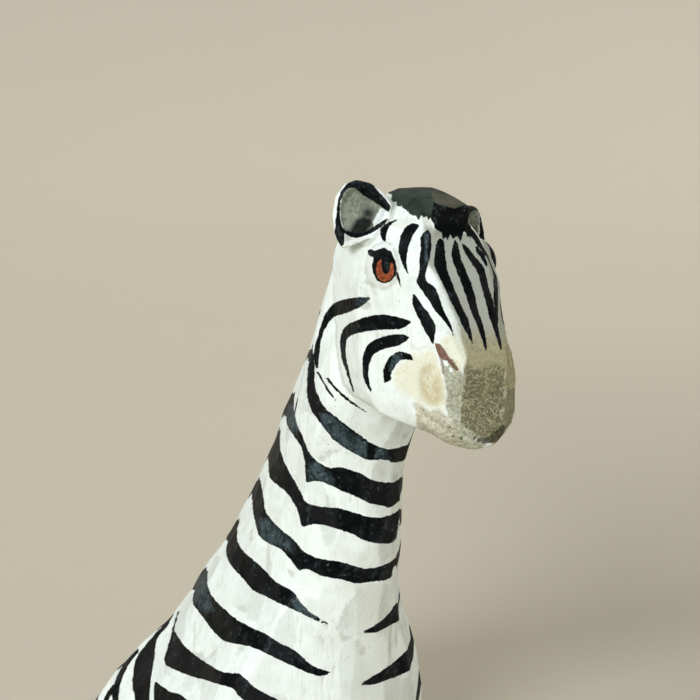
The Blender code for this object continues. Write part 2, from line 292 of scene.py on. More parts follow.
# The left side mirrors the right side's stripes, but for the nose's, which the view shows
NOSE_STRIPES = ("nose_right", "nose_middle", "nose_left", "left_brow")
MIRRORED_STRIPES = [name for name in STRIPES if name not in NOSE_STRIPES and not name.startswith("left_")]

# Eye: its black edge, the orange ring, the lid's line across the ring, and the pupil
EYE_EDGE = [(367.5, 250.5), (370.5, 249), (375, 250.6), (380, 248.2), (385, 247.8), (390.5, 251.5),
            (394.3, 258), (396.4, 266), (395.4, 275), (391, 281.4), (384, 284), (377, 281), (373, 273),
            (372, 264), (373.8, 257.5), (370.5, 256.5), (368, 254)]
IRIS = {"middle": (385, 269.6), "half": (9.1, 12.2)}
IRIS_TOP = [(374, 257.2), (397, 264.5)]
PUPIL = {"middle": (385.9, 263.6), "half": (4.5, 10.8)}

# Forelock: the ragged edge of its black paint
HAIR_EDGE = [(383, 178), (400, 174), (440, 176), (480, 190), (484, 214), (474, 218), (473.6, 229),
             (474.4, 235.6), (471.2, 233.6), (470.8, 241.4), (469, 236), (467, 237.2), (465.6, 232),
             (463.6, 231.4), (460.6, 242.8), (457.6, 236.4), (455.6, 236.8), (453.4, 239.6), (450.2, 234.4),
             (447.4, 240.6), (445.4, 236.6), (443, 240.4), (441.6, 232.4), (437.6, 230.6), (434.4, 227.8),
             (434.4, 223.6), (431.8, 221), (430.6, 217.4), (428.4, 220.2), (426.4, 215.6), (423.8, 218.4),
             (421.4, 214.6), (418.6, 221), (416.4, 216.4), (413.4, 215), (410.6, 219.2), (408.2, 217.4),
             (406.8, 211.4), (403.2, 210.4), (401.8, 205), (399, 207.4), (396.8, 205.6), (396.4, 201.4),
             (393.2, 202.6), (391, 199.6), (392.4, 194.6), (388.2, 193.4), (386, 190.6)]

# Ear: the black band round its hollow, the black below the hollow, the hollow, and the patch behind
EAR_BAND = [(340.8, 191.7), (345.8, 184.4), (351.7, 180), (361.7, 179), (368.3, 180.6), (374.2, 186),
            (380, 192.6), (385.8, 199.6), (391.4, 207), (389, 212), (386, 210.6), (380.6, 206),
            (372, 200.6), (364.4, 196.4), (359.4, 191.6), (355, 187.8), (350, 187.6), (345.8, 190.4),
            (342.5, 195.2), (340.8, 202), (340, 210), (340.4, 218.3), (342, 226.7), (344, 233),
            (344.8, 240), (342.4, 247.6), (337.4, 242), (335, 233.3), (335.2, 223.3), (336.6, 211.7),
            (338, 200)]
EAR_FLOOR = [(341, 225), (345, 230), (351, 232.4), (358, 233.4), (366, 231.6), (373, 227.6), (381, 222),
             (388, 217.4), (388.6, 219.6), (383, 225.4), (375, 231.4), (366.7, 235.4), (357, 238),
             (350, 236.8), (344.4, 233.6)]
EAR_HOLLOW = [(343, 193), (350, 187), (356, 187), (362, 192), (370, 197), (380, 204), (386, 210),
              (382, 220), (373, 228), (366, 232), (358, 234), (350, 233), (344, 229), (341, 220),
              (340.6, 206)]
EAR_PATCH = {"middle": (1, 4), "half": (14, 15)}

# Mane: its bands in the painter's view, from and to, down from its top, and from where they cross it
MANE_BANDS = [(252, 264), (276, 291), (302, 324), (349, 361), (394, 417), (431, 462), (481, 499),
              (520, 541), (570, 590), (614, 630), (650, 670), (690, 706)]
MANE_JOINED = (335, 349)
MANE_WIDTH = (30, 10)
MANE_FRONT = (-112, -92)

# Height, and how much higher the right side's stripe is there that the left side's carries on
LEFT_SHIFT = [(0, 38), (47, 36), (109, 26), (167, 8), (223, 1), (268, 9), (300, 17), (338, 23), (400, 20),
              (430, 0)]

# Height, and where the neck's front and crest are there
NECK_FRONT = [(0, -40), (120, -40), (198, -65), (294, -85), (400, -130)]
NECK_CREST = [(0, 388), (110, 380), (207, 245), (300, 132), (393, 61), (480, 0)]

# Washes: soft patches of other paint, of painted shade and of painted light, each as outlines and how far
# their edges fade
WASHES = {
    # Painted shade: grey patches where the surface faces away from the light or lies under an overhang: below
    # the ear, under the forelock's block, under the bulge beside the muzzle, down the neck's front, on the
    # chest's right and below the eye
    "thin_paint_and_shade": [
        ([(344, 238), (362, 237), (357, 245), (350.6, 253), (345, 246)], 1.4),
        ([(389, 221), (398, 218.4), (408, 217.4), (417, 219), (414, 225), (403, 229), (392, 227)], 1.4),
        ([(411, 343), (418, 347.4), (427, 345), (429, 341), (428, 348), (418, 351), (411, 348)], 1.4),
        ([(391, 462), (404, 455), (409, 470), (405, 520), (402, 600), (392, 606), (391, 560)], 1.4),
        ([(355, 585), (384, 583), (404, 588), (408, 612), (384, 608), (356, 606)], 1.4),
        ([(357, 606), (402, 608), (412, 640), (425, 668), (440, 720), (440, 800), (352, 800), (350, 700),
          (356, 650)], 2.5),
        ([(370, 283), (374, 281), (375, 290), (378, 296), (374, 295), (371, 289)], 1),
    ],
    # Painted shade: the face's front, which faces away from the light, painted darker over its beige paint
    "warm_and_shaded": [
        ([(425, 226), (500, 240), (512, 300), (512, 345), (462, 345), (457, 322), (447, 298), (437, 275),
          (424, 262)], 5),
    ],
    "cream": [
        ([(394, 368), (402, 361), (411, 355), (424, 350), (434, 348), (440, 362), (446, 380), (448, 400),
          (444, 412), (433, 410), (424, 408), (415, 401), (404, 394), (396, 390), (391, 380)], 7),
        ([(438, 338), (448, 334), (458, 334), (465, 346), (467, 360), (463, 374), (452, 368),
          (443, 354)], 5),
    ],
    "tan": [
        ([(420, 368), (427, 362), (434, 362), (440, 373), (444, 386), (444, 401), (438, 407), (428, 404),
          (421, 397), (418, 382)], 7),
    ],
    "front": [
        ([(461, 325), (480, 322), (508, 322), (530, 345), (532, 400), (524, 444), (495, 445), (461, 425),
          (460, 410), (464, 377), (463, 369), (466.4, 359), (461, 340)], 2.0),
    ],
    "stipple": [
        ([(452, 370), (466, 363), (480, 367), (494, 362), (506, 366), (511, 386), (518, 394), (516, 412),
          (508, 430), (492, 438), (472, 437), (456, 428), (450, 410), (452, 384)], 8),
    ],
    # The muzzle front's left chamfer: olive paint, darker as a painted shade where it turns from the light
    "shaded_side_front": [
        ([(505, 391), (530, 388), (530, 430), (500, 428), (503, 415)], 1.6),
    ],
    "corner": [
        ([(442, 368), (448, 361), (454, 366), (463.6, 373), (465, 378), (460, 413), (459, 424), (448, 418),
          (446, 405), (447, 392)], 2.4),
        ([(458, 418), (474, 430), (490, 432), (498, 428), (494, 433), (483, 437.4), (474, 438.4),
          (486, 444), (476, 456), (458, 454), (448, 444), (446, 426)], 2),
    ],
    "jaw": [
        ([(416, 403), (424, 407), (431, 411), (434, 408), (440, 409), (450, 418), (458, 430), (458, 446),
          (450, 452), (430, 446), (417, 432), (416, 418)], 3),
    ],
    "lip": [
        ([(471.4, 437.4), (480, 436.6), (490, 434.6), (497, 430), (501.4, 425), (506, 427), (505, 436),
          (494, 443), (484, 443.6), (476, 441.4)], 0.9),
        ([(448.6, 425), (452, 424.5), (452, 428.5), (449, 428)], 0.8),
        ([(451.5, 434.6), (454.5, 434.6), (454.8, 438), (451.8, 438)], 0.8),
        ([(460.6, 436.6), (463.6, 436.6), (463.6, 440), (460.6, 440)], 0.8),
    ],
    "rust_pale": [
        ([(436, 346), (440, 350), (442.6, 358), (444.6, 366), (444.4, 376), (442, 373), (440, 362),
          (437.6, 353)], 1.1),
    ],
    "rust": [
        ([(434.6, 343), (440, 344), (444.6, 350), (447.4, 356), (452, 361), (457, 366), (461.5, 373.4),
          (456.4, 370.6), (451, 365.6), (446.4, 361), (443, 360), (439.6, 357), (437, 352)], 1.2),
    ],
    # Small white spots by the nostril and in the ear
    "white_spots": [
        ([(444, 361.6), (446.6, 360.6), (449, 364), (447.6, 366.6), (445, 365.4)], 0.8),
        ([(448.6, 367.4), (452, 367.6), (453.6, 371.6), (449.6, 372)], 0.8),
        ([(381, 207), (385, 210), (387.5, 214), (386, 219), (380, 223.5), (374, 227.5), (373, 222),
          (377, 214)], 3.5),
    ],
    # Painted shade: dark at the ear hollow's floor and deep inside it
    "hollow_floor_shade": [
        ([(342, 230), (350, 231), (356, 220), (363, 216), (371, 218), (373, 224), (367, 233), (357, 238),
          (345, 237)], 5),
        ([(362, 211), (368, 208), (374, 211), (372, 218), (364, 218)], 9),
    ],
    # Painted light: the forelock's top, lighter where the light falls from above
    "lit_hair_top": [
        ([(430, 188), (440, 184), (462, 186), (478, 205), (474, 212), (466, 211), (452, 208), (440, 204.6),
          (434, 202)], 0.8),
    ],
    # Painted light: the forelock's side that faces the light, lighter than its black front
    "lit_hair_side": [
        ([(380, 180), (430, 180), (434.4, 199), (432, 212), (429, 224), (380, 224)], 1.6),
    ],
    "worn": [
        ([(318, 412), (330, 415), (350, 430), (368, 442), (366, 460), (350, 452), (334, 442),
          (322, 428)], 3),
        ([(287, 404), (297, 404), (300, 428), (292, 436), (286, 426)], 5),
        ([(308, 462), (318, 462), (332, 474), (334, 486), (318, 482), (307, 484)], 6),
        ([(288, 598), (298, 597), (308, 608), (320, 618), (312, 621), (298, 613)], 2.5),
        ([(356, 296), (372, 295), (372, 303), (362, 308), (356, 305)], 3),
        ([(424.5, 233), (428.5, 234), (428, 262), (424.5, 266)], 2),
        ([(393, 354), (402, 353), (404, 358), (396, 364), (391, 372), (388, 372)], 1.4),
        ([(194, 572), (206, 572), (208, 590), (214, 610), (202, 612), (193, 600)], 7),
        ([(256, 515), (268, 520), (290, 540), (296, 556), (276, 546), (258, 536)], 8),
        ([(374, 446), (388, 451), (386, 459), (374, 459)], 3),
    ],
}
MUZZLE_LAYERS = ("cream", "tan", "corner", "jaw", "lip", "front", "stipple", "rust", "rust_pale", "glint")
FRONT_TOP = (318, 350)

# Painted highlights along the muzzle's plane edges, and how wide they are
EDGE_HIGHLIGHTS = [
    ([(458.8, 326), (460, 337), (465.6, 352), (466.2, 359), (463.6, 369), (465, 378), (462.5, 396),
      (460, 412)], 0.7),
    ([(417, 404), (431, 411), (434.4, 408.6), (439.6, 409.6), (450, 418)], 0.6),
    ([(413, 352), (415.4, 366), (414.4, 384), (416.6, 402), (419, 414)], 1.0),
    ([(505, 372), (505.4, 390), (503.6, 408), (500, 422)], 0.45),
]


# ---------------------------------------------------------------- measuring

def direction(azimuth, elevation):
    """The direction at an azimuth and elevation in degrees, azimuth 0 straight ahead of the zebra."""
    azimuth, elevation = math.radians(azimuth), math.radians(elevation)
    return np.array((math.sin(azimuth) * math.cos(elevation), -math.cos(azimuth) * math.cos(elevation),
                     math.sin(elevation)))


def view_axes():
    """The painter's view's own axes: across, up and back towards the eye."""
    azimuth = math.radians(VIEW_AZIMUTH)
    across = np.array((math.cos(azimuth), math.sin(azimuth), 0.0))
    back = direction(VIEW_AZIMUTH, VIEW_ELEVATION)
    return across, np.cross(back, across), back


def in_view(places):
    """Where places, in units, are seen in the painter's view."""
    across, up, back = view_axes()
    offset = places - np.array(VIEW_TARGET)
    nearness = VIEW_DISTANCE / (VIEW_DISTANCE - offset @ back)
    return np.column_stack([VIEW_MIDDLE + nearness * (offset @ across),
                            VIEW_MIDDLE - nearness * (offset @ up)])


def in_units(metres):
    """Points of the model in the carver's units."""
    return metres / UNIT + np.array((0, STAND_SHIFT, 0))


def on_left(places):
    """Places with the right side's folded over to the left side."""
    return np.abs(places[:, :1]) * (1, 0, 0) + places * (0, 1, 1)


def faded(values, low, high):
    """0 at low, 1 at high, with a smooth run between."""
    t = np.clip((values - low) / (high - low), 0, 1)
    return t * t * (3 - 2 * t)


def along(values, table):
    """A table's second column at values of its first."""
    return np.interp(values, *np.array(table, float).T)


def near(places, middle, edge, full):
    """1 within the full distance of a point, 0 past the edge's."""
    return faded(np.linalg.norm(places - np.array(middle), axis=1), edge, full)


def in_box(places, aside, height, back):
    """1 inside a soft-edged box across the middle, 0 outside it."""
    return faded(np.abs(places[:, 0]), *aside) * faded(places[:, 2], *height) * faded(places[:, 1], *back)


def head_level(places, slant):
    """Height over the slanting plane that parts the head from the neck."""
    return places[:, 2] + slant * (places[:, 1] + 100)


def on_head(places, slant, level, back):
    """1 on the head, 0 on the neck."""
    return faded(head_level(places, slant), *level) * faded(places[:, 1], *back)


def rounded(line, rounds=2):
    """An open line with its corners cut, its ends kept."""
    points = np.array(line, float)
    for _ in range(rounds):
        first = 0.75 * points[:-1] + 0.25 * points[1:]
        second = 0.25 * points[:-1] + 0.75 * points[1:]
        inner = np.stack([first, second], axis=1).reshape(-1, 2)[1:-1]
        points = np.vstack([points[:1], inner, points[-1:]])
    return points


def outline_distance(spots, outline, reach=REACH):
    """Distance from spots of the view to a closed outline, negative inside, at most the reach."""
    start = np.asarray(outline, float)
    end = np.roll(start, -1, axis=0)
    run = end - start
    length = np.maximum((run ** 2).sum(axis=1), 1e-9)
    distance = np.full(len(spots), reach)
    close = np.all((spots > start.min(axis=0) - reach) & (spots < start.max(axis=0) + reach), axis=1)
    spot = spots[close][:, None, :]
    share = np.clip(((spot - start) * run).sum(axis=2) / length, 0, 1)
    gap = np.sqrt(((spot - start - share[..., None] * run) ** 2).sum(axis=2).min(axis=1))
    crosses = (start[:, 1] > spot[..., 1]) != (end[:, 1] > spot[..., 1])
    rise = np.where(run[:, 1] == 0, 1.0, run[:, 1])
    left_of = spot[..., 0] < start[:, 0] + (spot[..., 1] - start[:, 1]) / rise * run[:, 0]
    inside = (crosses & left_of).sum(axis=1) % 2 == 1
    distance[close] = np.minimum(np.where(inside, -gap, gap), reach)
    return distance


def least_distance(spots, outlines):
    """Distance from spots of the view to the nearest of several closed outlines."""
    return np.min([outline_distance(spots, outline) for outline in outlines], axis=0)


def stripe_distance(spots, names):
    """Distance from spots of the view to the nearest of the named stripes."""
    return least_distance(spots, [np.vstack([rounded(STRIPES[name][0]), rounded(STRIPES[name][1])[::-1]])
                                  for name in names])


def oval_distance(spots, middle, half):
    """Distance from flat spots to an oval, about right near its edge."""
    offset = (spots - np.array(middle)) / np.array(half)
    return (np.hypot(*offset.T) - 1) * min(half)


def line_distance(spots, line):
    """Distance from spots, in the view or in space, to an open line."""
    points = np.array(line, float)
    best = np.full(len(spots), np.inf)
    for start, end in zip(points, points[1:]):
        run = end - start
        share = np.clip((spots - start) @ run / (run @ run), 0, 1)
        best = np.minimum(best, np.linalg.norm(spots - start - share[:, None] * run, axis=1))
    return best


# ---------------------------------------------------------------- parts of the head

def ear_axes(side, middle, tall, wide):
    """An ear's own middle and directions: across its opening, up, and the way it faces."""
    turn = math.radians(EAR_TURN)
    across = np.array((-side * math.cos(turn), -math.sin(turn), 0.0)) * wide
    up = np.array((0.0, 0.0, 1.0)) * tall
    facing = np.array((side * math.sin(turn), -math.cos(turn), 0.0))
    return np.array((side * middle[0], middle[1], middle[2]), float), across, up, facing


def ear_places(places, ear):
    """Places in an ear's measure: across, up and forward, and what share of its outline they reach."""
    middle, across, up, facing = ear_axes(**ear)
    offset = places - middle
    u = offset @ across / (across @ across)
    v = offset @ up / (up @ up)
    forward = offset @ facing + EAR_LEAN * v * ear["tall"]
    rim = np.array(EAR_OUTLINE, float)
    turn = np.arctan2(rim[:, 1], rim[:, 0])
    order = np.argsort(turn)
    radius = np.interp(np.arctan2(v, u), turn[order], np.hypot(*rim.T)[order], period=2 * math.pi)
    return u, v, forward, np.hypot(u, v) / radius


def moved_to_right_ear(places):
    """The left ear's places, taken to where they would be on the right ear."""
    u, v, forward, _ = ear_places(places, LEFT_EAR)
    middle, across, up, facing = ear_axes(**RIGHT_EAR)
    forward = forward - EAR_LEAN * v * RIGHT_EAR["tall"]
    return middle + np.outer(u, across) + np.outer(v, up) + np.outer(forward, facing)


def on_ear(places, ear):
    """1 on an ear, 0 off it."""
    _, _, forward, share = ear_places(places, ear)
    return faded(share, *EAR_EDGE) * faded(forward, *EAR_BACK) * faded(forward, *EAR_FRONT)


def fineness(places):
    """1 where the carving is fine and keeps its edges, 0 on the broad planes."""
    folded = on_left(places)
    parts = [near(folded, EYE_MIDDLE, *EYE_FINE), in_box(places, **FORELOCK_FORM)]
    parts += [faded(line_distance(folded, run), *MOUTH_FINE) for run in (MOUTH_RUN, NOSTRIL_RUN)]
    for ear in (RIGHT_EAR, LEFT_EAR):
        parts += [on_ear(places, ear), near(places, ear_axes(**ear)[0], *EAR_FINE)]
    return np.max(parts, axis=0)


def eye_rims(places):
    """1 around the eyes, where they grow out of the face."""
    return near(on_left(places), EYE_MIDDLE, *EYE_RIM)


# ---------------------------------------------------------------- carving

def even_mesh(node, face_size):
    """The node's surface in even small faces, and the surface itself, to draw points back to."""
    build = bmesh.new()
    build.from_mesh(node.data)
    bmesh.ops.remove_doubles(build, verts=build.verts, dist=1e-6)
    surface = BVHTree.FromBMesh(build)
    rough = bpy.data.meshes.new("rough")
    build.to_mesh(rough)
    build.free()
    holder = bpy.data.objects.new("rough", rough)
    bpy.context.scene.collection.objects.link(holder)
    remesh = holder.modifiers.new("even faces", "REMESH")
    remesh.mode = "VOXEL"
    remesh.voxel_size = face_size
    even = bpy.data.meshes.new_from_object(holder.evaluated_get(bpy.context.evaluated_depsgraph_get()))
    bpy.data.objects.remove(holder)
    bpy.data.meshes.remove(rough)
    return even, surface


def close_below(build, face_size):
    """Makes the flat cut one face, at the floor."""
    under = [face for face in build.faces
             if face.normal.z < -0.9 and max(vert.co.z for vert in face.verts) < 0.6 * face_size]
    bmesh.ops.delete(build, geom=under, context="FACES")
    rim = [edge for edge in build.edges if edge.is_boundary]
    bmesh.ops.edgeloop_fill(build, edges=rim)
    for edge in rim:
        for vert in edge.verts:
            vert.co.z = 0.0
    build.normal_update()


def fine_mesh(node, face_size):
    """The node's surface in even small faces, half as wide on the head, with one face below."""
    mesh, surface = even_mesh(node, face_size)
    build = bmesh.new()
    build.from_mesh(mesh)
    close_below(build, face_size)
    places = in_units(np.array([vert.co for vert in build.verts]))
    head = (head_level(places, HEAD_MESH["slant"]) > HEAD_MESH["level"]) & (places[:, 1] < HEAD_MESH["back"])
    build.verts.index_update()
    split = [edge for edge in build.edges if all(head[vert.index] for vert in edge.verts)]
    bmesh.ops.subdivide_edges(build, edges=split, cuts=1, use_grid_fill=True)
    for vert in build.verts:
        if vert.co.z > 0:
            vert.co = surface.find_nearest(vert.co)[0]
    bmesh.ops.recalc_face_normals(build, faces=build.faces)
    build.to_mesh(mesh)
    build.free()
    return mesh


class Form:
    """The bust's mesh as arrays, which the carving moves. The flat cut stays still."""

    def __init__(self, mesh):
        self.mesh = mesh
        self.points = self.read(mesh.vertices, "co", 3)
        self.edges = self.read(mesh.edges, "vertices", 2, np.int32)
        self.degree = np.bincount(self.edges.ravel(), minlength=len(self.points))
        self.moves = (self.points[:, 2] > 0.3 * UNIT).astype(float)

    @staticmethod
    def read(items, name, width, kind=float):
        """One of the mesh's properties, a row for each item."""
        values = np.empty(len(items) * width, kind)
        items.foreach_get(name, values)
        return values.reshape(-1, width)

    def neighbours(self, values):
        """The mean of each point's neighbours."""
        first, second = self.edges.T
        count = len(self.degree)
        total = [np.bincount(first, column[second], count) + np.bincount(second, column[first], count)
                 for column in values.reshape(count, -1).T]
        return (np.array(total) / np.maximum(self.degree, 1)).T.reshape(values.shape)

    def relax(self, weight, rounds):
        """Smooths without shrinking: a step in and a slightly longer step out."""
        share = (weight * self.moves)[:, None]
        for _ in range(rounds):
            for step in (0.5, -0.52):
                self.points += step * share * (self.neighbours(self.points) - self.points)

    def normals(self):
        """The points' normals as the mesh now stands."""
        self.mesh.vertices.foreach_set("co", self.points.ravel())
        self.mesh.update()
        return self.read(self.mesh.vertex_normals, "vector", 3)

    def broad_normals(self, rounds):
        """The normals of the broad planes, without the small ones."""
        normals = self.normals()
        for _ in range(rounds):
            normals = 0.5 * normals + 0.5 * self.neighbours(normals)
        return normals / np.linalg.norm(normals, axis=1)[:, None]

    def triangles(self):
        """The corners of the mesh's triangles."""
        self.mesh.calc_loop_triangles()
        return self.read(self.mesh.loop_triangles, "vertices", 3, np.int32)

    def turn_faces(self, triangles, facing, weight, rounds):
        """Moves the points until the triangles face their given ways."""
        corners = triangles.ravel()
        count = len(self.points)
        share = weight * self.moves / np.maximum(np.bincount(corners, minlength=count), 1)
        facing = np.repeat(facing, 3, axis=0)
        for _ in range(rounds):
            middle = np.repeat(self.points[triangles].mean(axis=1), 3, axis=0)
            height = ((middle - self.points[corners]) * facing).sum(axis=1)
            step = np.array([np.bincount(corners, height * column, count) for column in facing.T]).T
            self.points += share[:, None] * step

    def hollowness(self):
        """How hollow or proud the form is at each point, from -1 on edges to 1 in creases."""
        lift = ((self.neighbours(self.points) - self.points) * self.normals()).sum(axis=1)
        first, second = self.edges.T
        bend = lift / np.linalg.norm(self.points[first] - self.points[second], axis=1).mean()
        for _ in range(2):
            bend = 0.5 * bend + 0.5 * self.neighbours(bend)
        return np.clip(bend * 20, -1, 1)

    def add_layers(self, layers):
        """Gives the mesh its layers of paint, a value at each point."""
        for name, values in layers.items():
            layer = self.mesh.attributes.new(name, "FLOAT", "POINT")
            layer.data.foreach_set("value", values.astype(np.float32))

    def mark_underside(self):
        """Marks the flat cut's faces, and its rim as sharp."""
        down = self.read(self.mesh.polygons, "normal", 3)[:, 2]
        height = self.read(self.mesh.polygons, "center", 3)[:, 2]
        under = self.mesh.attributes.new("underside", "FLOAT", "FACE")
        under.data.foreach_set("value", ((down < -0.9) & (height < 0.05 * UNIT)).astype(np.float32))
        low = self.points[:, 2] < 1e-7
        rim = self.mesh.attributes.new("sharp_edge", "BOOLEAN", "EDGE")
        rim.data.foreach_set("value", low[self.edges].all(axis=1))


def facet_owners(places, normals, spacing, stretch, allowed):
    """Parts the form into facets: each new one starts at the place that is worst served by the others.

    Gives the facet of every place. Facets differ in place, in shares of their spacing, and in facing.
    """
    gap = np.where(allowed, np.inf, 0.0)
    owner = np.zeros(len(places), np.int32)
    count = 0
    while gap.max() > 1.0:
        seed = int(np.argmax(gap))
        away = np.linalg.norm((places - places[seed]) * stretch[seed], axis=1) / spacing[seed]
        turned = np.linalg.norm(normals - normals[seed], axis=1)
        away = np.hypot(away, 1.5 * turned)
        owner[away < gap] = count
        gap = np.minimum(gap, away)
        count += 1
    return owner, count


def cut_facets(form, carving):
    """Cuts the broad planes into flat facets, as a knife does. Gives how thin each facet's paint is."""
    places, normals = in_units(form.points), form.normals()
    broad = 1 - fineness(places)
    head = on_head(places, **HEAD_CUTS)
    spacing = (carving.neck_facet * (1 - head) + carving.head_facet * head) / UNIT
    stretch = np.column_stack([np.ones(len(places)), np.ones(len(places)), 0.6 + 0.4 * head])
    owner, count = facet_owners(places, normals, spacing, stretch, places[:, 2] > 1)
    rng = np.random.default_rng(carving.seed)
    facing = np.array([np.bincount(owner, column, count) for column in normals.T]).T
    facing /= np.maximum(np.linalg.norm(facing, axis=1), 1e-9)[:, None]
    facing += np.radians(carving.tilt) * rng.normal(size=facing.shape)

    triangles = form.triangles()
    triangles = triangles[places[triangles, 2].max(axis=1) > 0.5]
    target = facing[owner[triangles]].sum(axis=1)
    target /= np.linalg.norm(target, axis=1)[:, None]
    form.turn_faces(triangles, target, broad * faded(places[:, 2], 0, 5), carving.cut_rounds)
    return rng.random(count)[owner] * broad * (1 - 0.3 * head)


# ---------------------------------------------------------------- painting

def view_layers(spots, names):
    """The paint's layers at spots of the view: edges as distances, washes as shares."""
    iris = np.maximum(oval_distance(spots, **IRIS), along(spots[:, 0], IRIS_TOP) - spots[:, 1])
    layers = {
        "ink": np.minimum(stripe_distance(spots, names), outline_distance(spots, EYE_EDGE)),
        "iris": np.maximum(iris, -oval_distance(spots, **PUPIL)),
        "hair": outline_distance(spots, HAIR_EDGE),
        "front_down": faded(spots[:, 1], *FRONT_TOP),
        "glint": np.max([faded(line_distance(spots, line), 2 * width, 0.4 * width)
                         for line, width in EDGE_HIGHLIGHTS], axis=0),
    }
    for name, patches in WASHES.items():
        layers[name] = np.max([faded(outline_distance(spots, outline, WASH_REACH), fade, -fade)
                               for outline, fade in patches], axis=0)
    return layers


def left_lift(places):
    """How much higher the left side's places find their stripe on the right side."""
    front, crest, shift = (along(places[:, 2], table) for table in (NECK_FRONT, NECK_CREST, LEFT_SHIFT))
    return shift * faded((places[:, 1] - crest) / (front + 20 - crest), 0, 1)


def paint_seen_left(layers, places, broad_normals):
    """Paints the left side as the view shows it, on the head with the nose's stripes alone."""
    head = on_head(places, **HEAD_PAINT)
    low, high = (body + head * (face - body) for body, face in zip(SEEN, SEEN_ON_HEAD))
    seen = faded(broad_normals @ view_axes()[2], low, high)
    seen = np.where(places[:, 0] > 0, seen * faded(places[:, 2], *BELOW_EARS), 0.0)
    own = np.flatnonzero(seen > 0)
    spots, head, seen = in_view(places[own]), head[own], seen[own]
    ink = np.minimum(layers["ink"][own], stripe_distance(spots, NOSE_STRIPES) + REACH * (1 - seen))
    for name, values in view_layers(spots, STRIPES).items():
        layers[name][own] += seen * (values - layers[name][own])
    layers["ink"][own] += head * (ink - layers["ink"][own])


def paint_mane(layers, places, down, facing):
    """Carries the stripes over the crest, past what the view sees, as bands, short behind the head."""
    joined = faded(down, *MANE_JOINED)
    width = joined + (1 - joined) * faded(np.abs(places[:, 0]), *MANE_WIDTH)
    bands = np.full(len(places), REACH)
    for start, end in MANE_BANDS:
        off_middle = np.abs(down - (start + end) / 2)
        bands = np.minimum(bands, off_middle - (end - start) / 2 * width + 3 * (width < 0.05))
    past = faded(places[:, 1], *MANE_FRONT) * faded(facing, *PAST_EDGE)
    layers["ink"] += past * (bands - layers["ink"])


def paint_ears(layers, places, normals):
    """Paints both ears as the right one, white behind with a black patch."""
    layers["hollow"] = np.zeros(len(places))
    for ear, like_right in ((RIGHT_EAR, places), (LEFT_EAR, moved_to_right_ear(places))):
        share = on_ear(places, ear)
        u, v, _, _ = ear_places(places, ear)
        front = normals @ ear_axes(**ear)[3] > -0.25
        spots = in_view(like_right)
        band = least_distance(spots, [EAR_BAND, EAR_FLOOR])
        patch = oval_distance(np.column_stack([u, v]), **EAR_PATCH)
        ink = np.where(front, np.minimum(band, layers["ink"]), patch)
        hollow = np.where(front, faded(outline_distance(spots, EAR_HOLLOW, WASH_REACH), 1.5, -1.5), 0)
        layers["ink"] += share * (ink - layers["ink"])
        layers["hollow"] = np.maximum(layers["hollow"], share * hollow)


def painted(places, normals, broad_normals):
    """The paint's layers over the whole bust."""
    left = places[:, 0] > 0
    fold = np.where(left[:, None], (-1, 1, 1), (1, 1, 1))
    folded = places * fold
    folded[:, 2] += np.where(left, left_lift(places), 0)
    spots = in_view(folded)
    layers = {}
    for side, names in ((~left, STRIPES), (left, MIRRORED_STRIPES)):
        for name, values in view_layers(spots[side], names).items():
            layers.setdefault(name, np.zeros(len(places)))[side] = values
    paint_seen_left(layers, places, broad_normals)
    for name in MUZZLE_LAYERS:
        layers[name] *= faded(places[:, 1], *MUZZLE_BACK)
    layers["hair"] = np.where(in_box(places, **FORELOCK_PAINT) > 0.5, layers["hair"], REACH)
    paint_mane(layers, places, spots[:, 1], (broad_normals * fold) @ view_axes()[2])
    paint_ears(layers, places, normals)
    return layers


# ---------------------------------------------------------------- materials

class Value:
    """A socket of a shader that arithmetic extends with Math nodes."""

    def __init__(self, recipe, socket):
        self.recipe = recipe
        self.socket = socket

    def _math(self, operation, first, second):
        return self.recipe.node("ShaderNodeMath", {"operation": operation}, {0: first, 1: second})

    def __add__(self, other):
        return self._math("ADD", self, other)

    def __radd__(self, other):
        return self._math("ADD", other, self)

    def __sub__(self, other):
        return self._math("SUBTRACT", self, other)

    def __rsub__(self, other):
        return self._math("SUBTRACT", other, self)

    def __mul__(self, other):
        return self._math("MULTIPLY", self, other)

    def __rmul__(self, other):
        return self._math("MULTIPLY", other, self)

    def __pow__(self, other):
        return self._math("POWER", self, other)

    def most(self, other):
        """The greater of the two."""
        return self._math("MAXIMUM", self, other)


